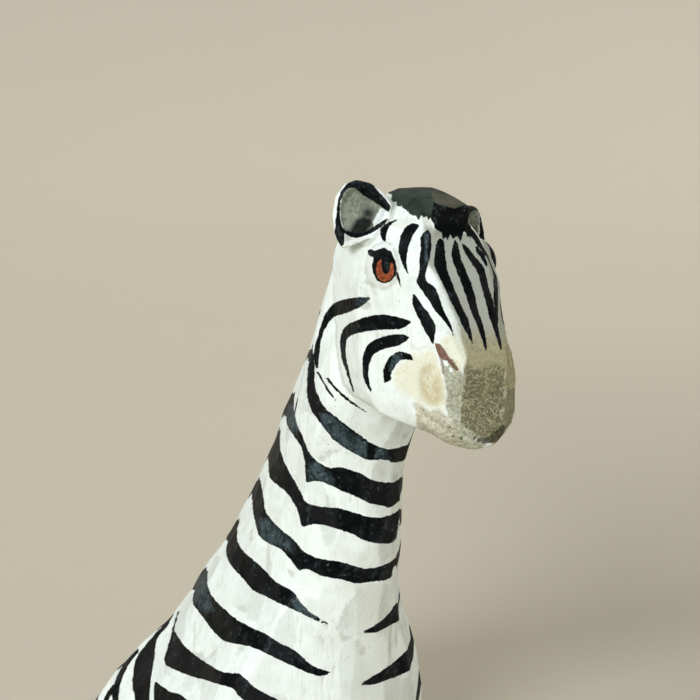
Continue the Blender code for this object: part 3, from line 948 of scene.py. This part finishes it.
class Recipe:
    """A material's node tree, built by calls."""

    def __init__(self, name):
        self.material = bpy.data.materials.new(name)
        self.material.use_nodes = True
        self.tree = self.material.node_tree
        self.tree.nodes.clear()
        self.place = self.node("ShaderNodeTexCoord", output="Object")

    def node(self, kind, settings=None, sockets=None, output=0):
        """Adds a node, sets it up, fills its sockets, and gives one of its outputs."""
        node = self.tree.nodes.new(kind)
        for name, value in (settings or {}).items():
            setattr(node, name, value)
        for key, value in (sockets or {}).items():
            if isinstance(value, Value):
                self.tree.links.new(value.socket, node.inputs[key])
            else:
                node.inputs[key].default_value = value
        return Value(self, node.outputs[output]) if node.outputs else None

    def layer(self, name):
        """A painted layer that the mesh carries."""
        return self.node("ShaderNodeAttribute", {"attribute_name": name}, output="Fac")

    def noise(self, place, scale, detail, roughness, distortion=0.0):
        """Cloudy noise, about 0.5 in the middle."""
        return self.node("ShaderNodeTexNoise", {},
                         {"Vector": place, "Scale": scale, "Detail": detail, "Roughness": roughness,
                          "Distortion": distortion})

    def streaked(self, lengths, turn=(0, 0, 0)):
        """A place for streaks: how many times longer along each axis, the axes turned in degrees."""
        return self.node("ShaderNodeMapping", {"vector_type": "TEXTURE"},
                         {"Vector": self.place, "Scale": lengths,
                          "Rotation": [math.radians(angle) for angle in turn]})

    def ramp(self, value, low, high):
        """0 at low, 1 at high, smooth between."""
        return self.node("ShaderNodeMapRange", {"interpolation_type": "SMOOTHSTEP"},
                         {"Value": value, "From Min": low, "From Max": high})

    def mix(self, share, first, second):
        """The first colour with a share of the second over it."""
        first, second = (colour if isinstance(colour, Value) else (*colour, 1) for colour in (first, second))
        return self.node("ShaderNodeMix", {"data_type": "RGBA"}, {"Factor": share, 6: first, 7: second},
                         output=2)

    def finish(self, sockets):
        """Ends the tree in the surface's shader, and gives the material."""
        shader = self.node("ShaderNodeBsdfPrincipled", {}, sockets)
        self.node("ShaderNodeOutputMaterial", {}, {"Surface": shader})
        return self.material


class PaintedWood(Recipe):
    """Brushed matt paint over knife-cut wood, laid by the layers that the mesh carries."""

    def __init__(self, paint):
        super().__init__("painted_wood")
        self.paint = paint
        self.grain = self.noise(self.streaked((1, 1, 16)), 1300, 3, 0.6)
        self.patchy = self.noise(self.place, 190, 4, 0.6)
        self.fine = self.noise(self.place, 900, 4, 0.65)
        self.hatching = self.crossed_lines()
        self.crease = self.layer("crease")
        self.facet = self.mottled("facet", 0.25)

    def crossed_lines(self):
        """Light brush lines that cross."""
        lines, cross, level = (
            self.ramp(self.noise(self.streaked(lengths, (0, slant, 0)), scale, 3, 0.6, 0.6), low, 0.64)
            for lengths, slant, scale, low in (((1, 1, 3), 42, 2000, 0.52), ((1, 1, 3), -48, 2000, 0.52),
                                               ((3, 1, 1), 12, 1800, 0.54)))
        return lines.most(cross).most(level * 0.8)

    def mottled(self, name, patchy=0.0, fine=0.0):
        """A layer made uneven by the paint's patches and its fine mottling."""
        value = self.layer(name)
        if patchy:
            value = value + (self.patchy - 0.5) * patchy
        if fine:
            value = value + (self.fine - 0.5) * fine
        return value

    def inside(self, distance):
        """1 inside a painted edge, 0 outside, by the distance from it."""
        return self.ramp(distance, self.paint.edge_softness, -self.paint.edge_softness)

    def white(self):
        """White: cool and bright where thick and greyer in patches, with painted shade on the facets turned
        from the light, in the creases and on the face's front, and the grain and some grime showing.
        """
        ramp, mix, paint = self.ramp, self.mix, self.paint
        white = mix(ramp(self.patchy, 0.35, 0.7) * 0.5, paint.white, paint.thin_and_shaded_white)
        # Painted shade: the washed patches that face away from the light turn greyer
        white = mix(ramp(self.mottled("thin_paint_and_shade", 0.5), 0.15, 0.85) * 0.75, white, paint.thin_and_shaded_white)
        white = mix(ramp(self.facet, 0.6, 0.7) * 0.2 + ramp(self.facet, 0.82, 0.9) * 0.2, white, paint.grey)
        white = mix(ramp(self.grain, 0.52, 0.74) * 0.28, white, paint.dirt_and_crease_shade)
        # Painted shade in the creases, along with grime collected there
        white = mix(ramp(self.crease, 0.12, 0.7) * 0.5, white, paint.dirt_and_crease_shade)
        white = mix(ramp(self.noise(self.place, 55, 3, 0.55), 0.5, 0.75) * 0.12, white, paint.dirt_and_crease_shade)
        specks = ramp(self.noise(self.place, 640, 1, 0.4), 0.735, 0.775)
        white = mix(specks * 0.5, white, paint.grey)
        # The face's front: beige paint made darker by a painted shade
        return mix(ramp(self.mottled("warm_and_shaded", 0.4), 0.1, 0.9) * 0.85, white, paint.warm_and_shaded)

    def muzzle(self, under):
        """Muzzle: cream and tan beside the mouth, tan above its front, flecked at the corners and the jaw."""
        ramp, mix, mottled, paint, fine = self.ramp, self.mix, self.mottled, self.paint, self.fine
        tan = mix(ramp(self.patchy * 0.4 + fine * 0.6, 0.45, 0.62), paint.tan, paint.cream)
        tan = mix(ramp(fine, 0.55, 0.68) * 0.5, tan, paint.olive)
        cream = mix(ramp(fine, 0.5, 0.7) * 0.45, paint.cream, paint.tan)
        front = mix(ramp(fine, 0.42, 0.66) * 0.6, paint.front, paint.olive)
        flecks = self.noise(self.place, 1000, 5, 0.75)
        corner = mix(ramp(flecks, 0.38, 0.66), paint.fleck_dark, paint.fleck_light)
        jaw = mix(ramp(flecks, 0.36, 0.64), paint.jaw_dark, paint.jaw_light)
        paints = mix(ramp(mottled("cream", 0.7, 0.5), 0.3, 1.1) * 0.9, under, cream)
        paints = mix(ramp(mottled("tan", 0.0, 0.8), 0.1, 1.0), paints, tan)
        paints = mix(ramp(mottled("front", 0.4), 0.15, 0.85) * self.layer("front_down"), paints, front)
        paints = mix(ramp(mottled("corner", 0.7, 0.5), 0.15, 0.85) * 0.9, paints, corner)
        return mix(ramp(mottled("jaw", 0.7, 0.5), 0.15, 0.85) * 0.9, paints, jaw)

    def muzzle_front(self, under):
        """Muzzle's front: dark and cross-hatched, olive at its left chamfer where a painted shade darkens it,
        with painted highlights along its edges.
        """
        ramp, mix, mottled, paint, fine = self.ramp, self.mix, self.mottled, self.paint, self.fine
        stipple = mix(ramp(self.patchy, 0.35, 0.7), paint.stipple, paint.olive_dark)
        stipple = mix(self.hatching * 0.75, stipple, paint.stipple_line)
        cover = ramp(mottled("stipple", 0.35, 0.25) + (self.hatching - 0.5) * 0.4, 0.2, 0.8)
        paints = mix(cover * ramp(self.layer("front"), 0.3, 0.8), under, stipple)
        # The left chamfer: olive paint and hatching, darkened by a painted shade
        side = mix(self.hatching * 0.3, paint.olive, paint.stipple_line)
        side = mix(ramp(fine, 0.5, 0.66) * 0.5, side, paint.olive_dark)
        paints = mix(ramp(mottled("shaded_side_front", 0.0, 0.5), 0.3, 0.7), paints, side)
        # Painted highlights along the plane edges, in cream
        return mix(self.layer("glint") * ramp(fine, 0.3, 0.55) * 0.7, paints, paint.cream)

    def lips_and_nostrils(self, under):
        """Dark lips and rust-brown nostrils."""
        ramp, mix, mottled, paint, fine = self.ramp, self.mix, self.mottled, self.paint, self.fine
        lip = mix(ramp(fine, 0.4, 0.65), paint.lip, paint.olive_dark)
        rust = mix(ramp(fine, 0.4, 0.7) * 0.6, paint.rust, paint.olive)
        paints = mix(ramp(mottled("lip", 0.0, 0.5), 0.3, 0.7) * 0.9, under, lip)
        paints = mix(ramp(mottled("rust_pale", 0.7, 0.5), 0.2, 0.9) * 0.6, paints, rust)
        return mix(ramp(mottled("rust", 0.56, 0.4), 0.25, 0.75) * 0.95, paints, rust)

    def ear(self, under):
        """Ear's hollow: grey-green, with a dark painted shade at its floor. Small white spots come last."""
        ramp, mix, mottled, paint = self.ramp, self.mix, self.mottled, self.paint
        hollow = mix(ramp(self.patchy * 0.4 + self.fine * 0.6, 0.42, 0.6), paint.slate_green, paint.ear_light)
        # Painted shade at the hollow's floor
        hollow = mix(ramp(mottled("hollow_floor_shade", 1.0, 0.7), 0.05, 0.9) * 0.95, hollow, paint.black)
        paints = mix(ramp(mottled("hollow", 0.0, 0.4), 0.35, 0.65), under, hollow)
        return mix(ramp(mottled("white_spots", 0.0, 0.5), 0.3, 0.7) * 0.85, paints, paint.white)

    def black(self):
        """Black: brown and slate where it is thin, dry-brushed grey where it is worn."""
        ramp, mix, paint, fine = self.ramp, self.mix, self.paint, self.fine
        rubbed = self.noise(self.place, 330, 5, 0.68)
        worn = ramp(self.mottled("worn", 1.1), 0.25, 0.95)
        scratches = ramp(self.noise(self.place, 760, 2, 0.5), 0.71, 0.76)
        black = mix(ramp(self.patchy, 0.42, 0.72) * 0.8, paint.black, paint.black_thin)
        black = mix(ramp(self.facet, 0.6, 0.7) * 0.5, black, paint.black_thin)
        black = mix(ramp(rubbed, 0.55, 0.7) * 0.4, black, paint.slate)
        black = mix(worn * (0.25 + 0.75 * ramp(rubbed, 0.4, 0.6)), black, paint.slate)
        black = mix(worn * ramp(fine, 0.52, 0.7) * 0.5, black, paint.slate_light)
        # Lighter on proud edges: paint rubbed there, and a painted highlight along them
        black = mix(ramp(self.crease, -0.3, -1.0) * ramp(fine, 0.45, 0.65) * 0.12, black, paint.slate_light)
        return mix(scratches * 0.6, black, paint.slate_light)

    def forelock(self, black):
        """Forelock: black in front, with painted light on it: slate-green at its sides and brown-grey on top,
        where the light falls.
        """
        patches = self.ramp(self.patchy, 0.45, 0.7) * 0.6
        side = self.mix(patches, self.paint.lit_hair_side, self.paint.black)
        top = self.mix(patches, self.paint.lit_hair_top, self.paint.lit_hair_side)
        hair = self.mix(self.ramp(self.mottled("lit_hair_side", 0.5), 0.3, 0.7), black, side)
        return self.mix(self.ramp(self.mottled("lit_hair_top", 0.0, 0.4), 0.3, 0.7), hair, top)

    def bare_wood(self):
        """Bare wood, with its rings."""
        rings = self.node("ShaderNodeTexWave", {"wave_type": "RINGS", "rings_direction": "Z"},
                          {"Vector": self.streaked((1, 1, 10)), "Scale": 95.0, "Distortion": 2.5,
                           "Detail": 3.0, "Detail Scale": 1.2})
        bare = self.mix(rings, self.paint.wood, self.paint.wood_dark)
        return self.mix(self.ramp(self.fine, 0.5, 0.7) * 0.3, bare, self.paint.wood_dark)

    def all_paints(self):
        """The material: all the paints laid over each other, with the relief of the brush and the grain."""
        mix, layer, paint, patchy, fine = self.mix, self.layer, self.paint, self.patchy, self.fine
        strays = ((self.noise(self.place, 420, 3, 0.65) - 0.5) * paint.ragged
                  + (self.noise(self.place, 1700, 3, 0.7) - 0.5) * (paint.ragged * 0.7))
        ink = self.inside(layer("ink") + strays)
        iris = self.inside(self.mottled("iris", 0.0, 0.8))
        hair = self.inside(self.mottled("hair", 0.0, 1.0))
        below = layer("underside")

        light = self.ear(self.lips_and_nostrils(self.muzzle_front(self.muzzle(self.white()))))
        black = self.black()
        colour = mix(ink, light, black)
        colour = mix(iris, colour, mix(self.ramp(fine, 0.35, 0.65), paint.iris, paint.iris_dark))
        colour = mix(hair, colour, self.forelock(black))
        colour = mix(below, colour, self.bare_wood())

        dark = ink.most(hair)
        roughness = 0.62 - 0.14 * dark + (patchy - 0.5) * 0.2 + below * 0.15 - iris * 0.2
        brush = self.noise(self.streaked((1, 1, 4), (12, 20, 0)), 800, 3, 0.6)
        relief = (brush * 0.5 + fine * 0.35 + self.grain * 0.5 * (1 - dark * 0.5) + dark * 0.7
                  + layer("stipple") * self.hatching * 0.8 + layer("corner") * fine * 0.8)
        bump = self.node("ShaderNodeBump", {}, {"Strength": 0.75, "Distance": paint.relief, "Height": relief})
        return self.finish({"Base Color": colour, "Roughness": roughness, "Normal": bump,
                            "Specular IOR Level": 0.05})


def stage_paint(colour):
    """The stage's own paint: plain and faintly uneven, with a painted shade darker up the wall and a painted
    shadow on the right of the floor.
    """
    recipe = Recipe("stage_paint")
    x, y, z = (recipe.node("ShaderNodeSeparateXYZ", {}, {0: recipe.place}, output=axis) for axis in "XYZ")
    # Painted shadow: the floor darker to the right of the bust and close behind it, where its shadow falls
    aside = recipe.ramp(x * 0.82 - y * 0.57, -0.02, 0.16) * recipe.ramp(x * 0.57 + y * 0.82, 1.3, 0.2)
    # Painted shade: the wall darker the higher it rises, with faint random unevenness
    deeper = z.most(0.0) ** 0.5 * 1.55 + aside * 0.5 + recipe.noise(recipe.place, 3.0, 3, 0.5) * 0.08
    tint = recipe.mix(deeper, colour, [part * 0.62 for part in colour])
    return recipe.finish({"Base Color": tint, "Roughness": 0.9})


# ---------------------------------------------------------------- settings

def size_setting(name, description, default):
    """A length that a user may set."""
    return bpy.props.FloatProperty(name=name, description=description, default=default, unit="LENGTH",
                                   precision=5)


def number_setting(name, description, default, least=0.0):
    """A number that a user may set."""
    return bpy.props.FloatProperty(name=name, description=description, default=default, min=least)


def count_setting(name, description, default):
    """A whole number that a user may set."""
    return bpy.props.IntProperty(name=name, description=description, default=default, min=0)


def colour_setting(name, description, default):
    """A colour that a user may set."""
    return bpy.props.FloatVectorProperty(name=name, description=description, default=default, subtype="COLOR",
                                         min=0.0, max=1.0)


class ZebraCarving(bpy.types.PropertyGroup):
    """How the bust's surface is cut"""
    face_size: size_setting("Face size", "Width of the mesh's faces on the neck, twice the head's", 0.00112)
    neck_facet: size_setting("Neck facet", "Size of the knife's cuts on the neck", 0.0068)
    head_facet: size_setting("Head facet", "Size of the knife's cuts on the head", 0.0050)
    tilt: number_setting("Tilt", "How far a cut leans, in degrees", 6.0)
    soften: count_setting("Soften", "Rounds of smoothing before the cuts", 4)
    soften_eyes: count_setting("Soften the eyes' rims", "Rounds of smoothing around the eyes", 24)
    cut_rounds: count_setting("Cut rounds", "How thoroughly the cuts are flattened", 40)
    seed: count_setting("Seed", "Start of the chance in the cuts", 7)


class ZebraPaint(bpy.types.PropertyGroup):
    """The bust's paints"""
    white: colour_setting("White", "Thick white paint", (0.84, 0.905, 0.865))
    # Also the colour of the painted shade on the white
    thin_and_shaded_white: colour_setting("Thin white", "White paint where it is thin", (0.71, 0.75, 0.675))
    # Beige paint of the face's front, darkened further as a painted shade
    warm_and_shaded: colour_setting("Warm white", "Thin paint of the face's front", (0.31, 0.325, 0.265))
    # Grime in the grain, and painted shade in the creases
    dirt_and_crease_shade: colour_setting("Dirt", "Dirt in the creases and the grain", (0.45, 0.46, 0.39))
    grey: colour_setting("Grey", "Small marks and thin cuts on the white", (0.48, 0.51, 0.46))
    black: colour_setting("Black", "Thick black paint", (0.0015, 0.0027, 0.0030))
    black_thin: colour_setting("Thin black", "Black paint where it is thin", (0.012, 0.0115, 0.013))
    slate: colour_setting("Slate", "Worn black paint", (0.050, 0.075, 0.084))
    slate_light: colour_setting("Light slate", "Black paint rubbed through", (0.19, 0.24, 0.25))
    slate_green: colour_setting("Slate green", "Ear's hollow", (0.16, 0.18, 0.135))
    ear_light: colour_setting("Light ear", "Lighter paint in the ear's hollow", (0.31, 0.34, 0.27))
    tan: colour_setting("Tan", "Paint beside the mouth", (0.56, 0.49, 0.30))
    cream: colour_setting("Cream", "Palest paint beside the mouth", (0.76, 0.765, 0.59))
    front: colour_setting("Front tan", "Muzzle's upper front", (0.37, 0.345, 0.205))
    olive: colour_setting("Olive", "Muzzle's mottling", (0.20, 0.187, 0.115))
    olive_dark: colour_setting("Dark olive", "Muzzle's dark mottling", (0.12, 0.115, 0.07))
    stipple: colour_setting("Stipple", "Muzzle's dark front", (0.155, 0.157, 0.092))
    stipple_line: colour_setting("Hatching", "Light lines on the muzzle's front", (0.50, 0.48, 0.29))
    fleck_dark: colour_setting("Dark fleck", "Dark flecks by the lips", (0.25, 0.25, 0.16))
    fleck_light: colour_setting("Light fleck", "Light flecks by the lips", (0.60, 0.61, 0.45))
    jaw_dark: colour_setting("Dark jaw", "Dark flecks under the mouth", (0.31, 0.28, 0.19))
    jaw_light: colour_setting("Light jaw", "Light flecks under the mouth", (0.68, 0.655, 0.50))
    lip: colour_setting("Lip", "Lips", (0.022, 0.024, 0.015))
    rust: colour_setting("Rust", "Nostril", (0.15, 0.055, 0.03))
    iris: colour_setting("Iris", "Eye's ring", (0.37, 0.105, 0.045))
    iris_dark: colour_setting("Dark iris", "Eye's ring in shade", (0.16, 0.036, 0.017))
    # Painted light: the forelock's lit side
    lit_hair_side: colour_setting("Forelock side", "Dry-brushed side of the forelock", (0.037, 0.05, 0.041))
    # Painted light: the forelock's lit top
    lit_hair_top: colour_setting("Forelock top", "Top of the forelock", (0.085, 0.083, 0.06))
    wood: colour_setting("Wood", "Bare wood below", (0.56, 0.38, 0.21))
    wood_dark: colour_setting("Dark wood", "Bare wood's rings", (0.38, 0.235, 0.12))
    ragged: number_setting("Ragged edge", "How far the brush strays at a stripe's edge, in units", 2.8)
    edge_softness: number_setting("Edge softness", "Half the width of a painted edge, in units", 0.35, 0.01)
    relief: size_setting("Relief", "Height of brush marks and grain", 0.00012)


class ZebraStage(bpy.types.PropertyGroup):
    """Floor, wall and lights"""
    colour: colour_setting("Stage colour", "Paint of the floor and wall", (0.65, 0.59, 0.465))
    floor_radius: size_setting("Floor radius", "Flat part of the stage", 1.7)
    wall_radius: size_setting("Wall radius", "Outer radius of the stage", 2.9)
    wall_height: size_setting("Wall height", "Top of the stage", 3.2)
    key: number_setting("Key light", "Strength of the soft light from the left", 2.45)
    fill: number_setting("Fill light", "Strength of the lights from the sides", 0.52)
    sky: number_setting("Sky", "Strength of the light from all round", 0.74)


# ---------------------------------------------------------------- making

class ZEBRA_OT_carve_bust(bpy.types.Operator):
    """Carve and paint the bust over its solid"""
    bl_idname = "zebra.carve_bust"
    bl_label = "Carve and Paint the Bust"

    def execute(self, context):
        carving = context.scene.zebra_carving
        form = Form(fine_mesh(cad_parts["zebra_bust"], carving.face_size))
        broad = 1 - fineness(in_units(form.points))
        form.relax(np.ones(len(broad)), 1)
        form.relax(broad, carving.soften)
        form.relax(eye_rims(in_units(form.points)), carving.soften_eyes)
        broad_normals = form.broad_normals(12)
        thin_paint_and_shade = cut_facets(form, carving)
        form.relax(0.5 * broad, 1)
        form.points = np.clip(form.points, *(np.array(corner) for corner in CAD_BOX))
        form.add_layers({**painted(in_units(form.points), form.normals(), broad_normals),
                         "crease": form.hollowness(), "facet": thin_paint_and_shade})
        form.mesh.shade_smooth()
        form.mark_underside()
        form.mesh.materials.clear()
        form.mesh.materials.append(PaintedWood(context.scene.zebra_paint).all_paints())

        bust = bpy.data.objects.new("carved_bust", form.mesh)
        context.scene.collection.objects.link(bust)
        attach(bust, "root")
        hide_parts("zebra_bust")
        return {"FINISHED"}


def bowl(radius, outer, height, floor_rings=6, wall_rings=24, spokes=96):
    """A round floor that curves up into a wall."""
    build = bmesh.new()
    profile = [(radius * i / floor_rings, 0.0) for i in range(1, floor_rings + 1)]
    for i in range(1, wall_rings + 1):
        turn = math.pi / 2 * i / wall_rings
        profile.append((radius + (outer - radius) * math.sin(turn), (outer - radius) * (1 - math.cos(turn))))
    profile.append((outer, height))
    middle = build.verts.new((0, 0, 0))
    rings = [[build.verts.new((away * math.cos(2 * math.pi * k / spokes),
                               away * math.sin(2 * math.pi * k / spokes), rise)) for k in range(spokes)]
             for away, rise in profile]
    for k in range(spokes):
        after = (k + 1) % spokes
        build.faces.new((middle, rings[0][k], rings[0][after]))
        for lower, upper in zip(rings, rings[1:]):
            build.faces.new((lower[k], upper[k], upper[after], lower[after]))
    mesh = bpy.data.meshes.new("stage")
    build.to_mesh(mesh)
    build.free()
    mesh.shade_smooth()
    return mesh


def far_light(name, azimuth, elevation, spread, power, colour):
    """A wide soft light from far off, its azimuth, elevation and spread in degrees."""
    light = bpy.data.lights.new(name, "SUN")
    light.angle = math.radians(spread)
    light.energy = power
    light.color = colour
    lamp = bpy.data.objects.new(name, light)
    lamp.rotation_euler = Vector(direction(azimuth, elevation)).to_track_quat("Z", "Y").to_euler()
    bpy.context.scene.collection.objects.link(lamp)


def view_camera():
    """The camera of the painter's view."""
    back = Vector(view_axes()[2])
    target = (Vector(VIEW_TARGET) - Vector((0, STAND_SHIFT, 0))) * UNIT
    camera = bpy.data.cameras.new("view")
    camera.sensor_width = 36.0
    camera.lens = camera.sensor_width * VIEW_DISTANCE / VIEW_SIZE
    eye = bpy.data.objects.new("view", camera)
    eye.location = target + back * VIEW_DISTANCE * UNIT
    eye.rotation_euler = back.to_track_quat("Z", "Y").to_euler()
    return eye


class ZEBRA_OT_set_stage(bpy.types.Operator):
    """Set the floor, the lights and the camera"""
    bl_idname = "zebra.set_stage"
    bl_label = "Set the Stage"

    def execute(self, context):
        scene, stage = context.scene, context.scene.zebra_stage
        mesh = bowl(stage.floor_radius, stage.wall_radius, stage.wall_height)
        mesh.materials.append(stage_paint(stage.colour))
        floor = bpy.data.objects.new("stage", mesh)
        scene.collection.objects.link(floor)
        floor.visible_shadow = False

        scene.camera = view_camera()
        scene.collection.objects.link(scene.camera)
        far_light("key", VIEW_AZIMUTH - 25, 21, 26, stage.key, (0.96, 1.0, 1.06))
        far_light("side fill", VIEW_AZIMUTH - 80, 30, 60, stage.fill, (0.97, 1.0, 1.04))
        far_light("front fill", VIEW_AZIMUTH + 42, 5, 60, stage.fill * 1.5, (0.98, 1.0, 1.03))
        scene.world = bpy.data.worlds.new("sky")
        scene.world.use_nodes = True
        sky = scene.world.node_tree.nodes["Background"]
        sky.inputs["Color"].default_value = (0.97, 1.0, 1.05, 1.0)
        sky.inputs["Strength"].default_value = stage.sky
        scene.view_settings.view_transform = "Standard"
        return {"FINISHED"}


class ZEBRA_PT_bust(bpy.types.Panel):
    """The bust's tools in the 3D view's sidebar"""
    bl_label = "Zebra Bust"
    bl_space_type = "VIEW_3D"
    bl_region_type = "UI"
    bl_category = "Zebra"

    def draw(self, context):
        scene = context.scene
        for settings, operator in (((scene.zebra_carving, scene.zebra_paint), ZEBRA_OT_carve_bust),
                                   ((scene.zebra_stage,), ZEBRA_OT_set_stage)):
            box = self.layout.box()
            for group in settings:
                for name in group.__annotations__:
                    box.prop(group, name)
            box.operator(operator.bl_idname)


CLASSES = (ZebraCarving, ZebraPaint, ZebraStage, ZEBRA_OT_carve_bust, ZEBRA_OT_set_stage, ZEBRA_PT_bust)


def register():
    """Adds the settings, the operators and the panel."""
    for cls in CLASSES:
        bpy.utils.register_class(cls)
    bpy.types.Scene.zebra_carving = bpy.props.PointerProperty(type=ZebraCarving)
    bpy.types.Scene.zebra_paint = bpy.props.PointerProperty(type=ZebraPaint)
    bpy.types.Scene.zebra_stage = bpy.props.PointerProperty(type=ZebraStage)


def unregister():
    """Takes away what register added."""
    del bpy.types.Scene.zebra_stage
    del bpy.types.Scene.zebra_paint
    del bpy.types.Scene.zebra_carving
    for cls in reversed(CLASSES):
        bpy.utils.unregister_class(cls)


def main():
    """Makes the bust and its stage."""
    register()
    bpy.ops.zebra.carve_bust()
    bpy.ops.zebra.set_stage()


if __name__ == "__main__":
    main()
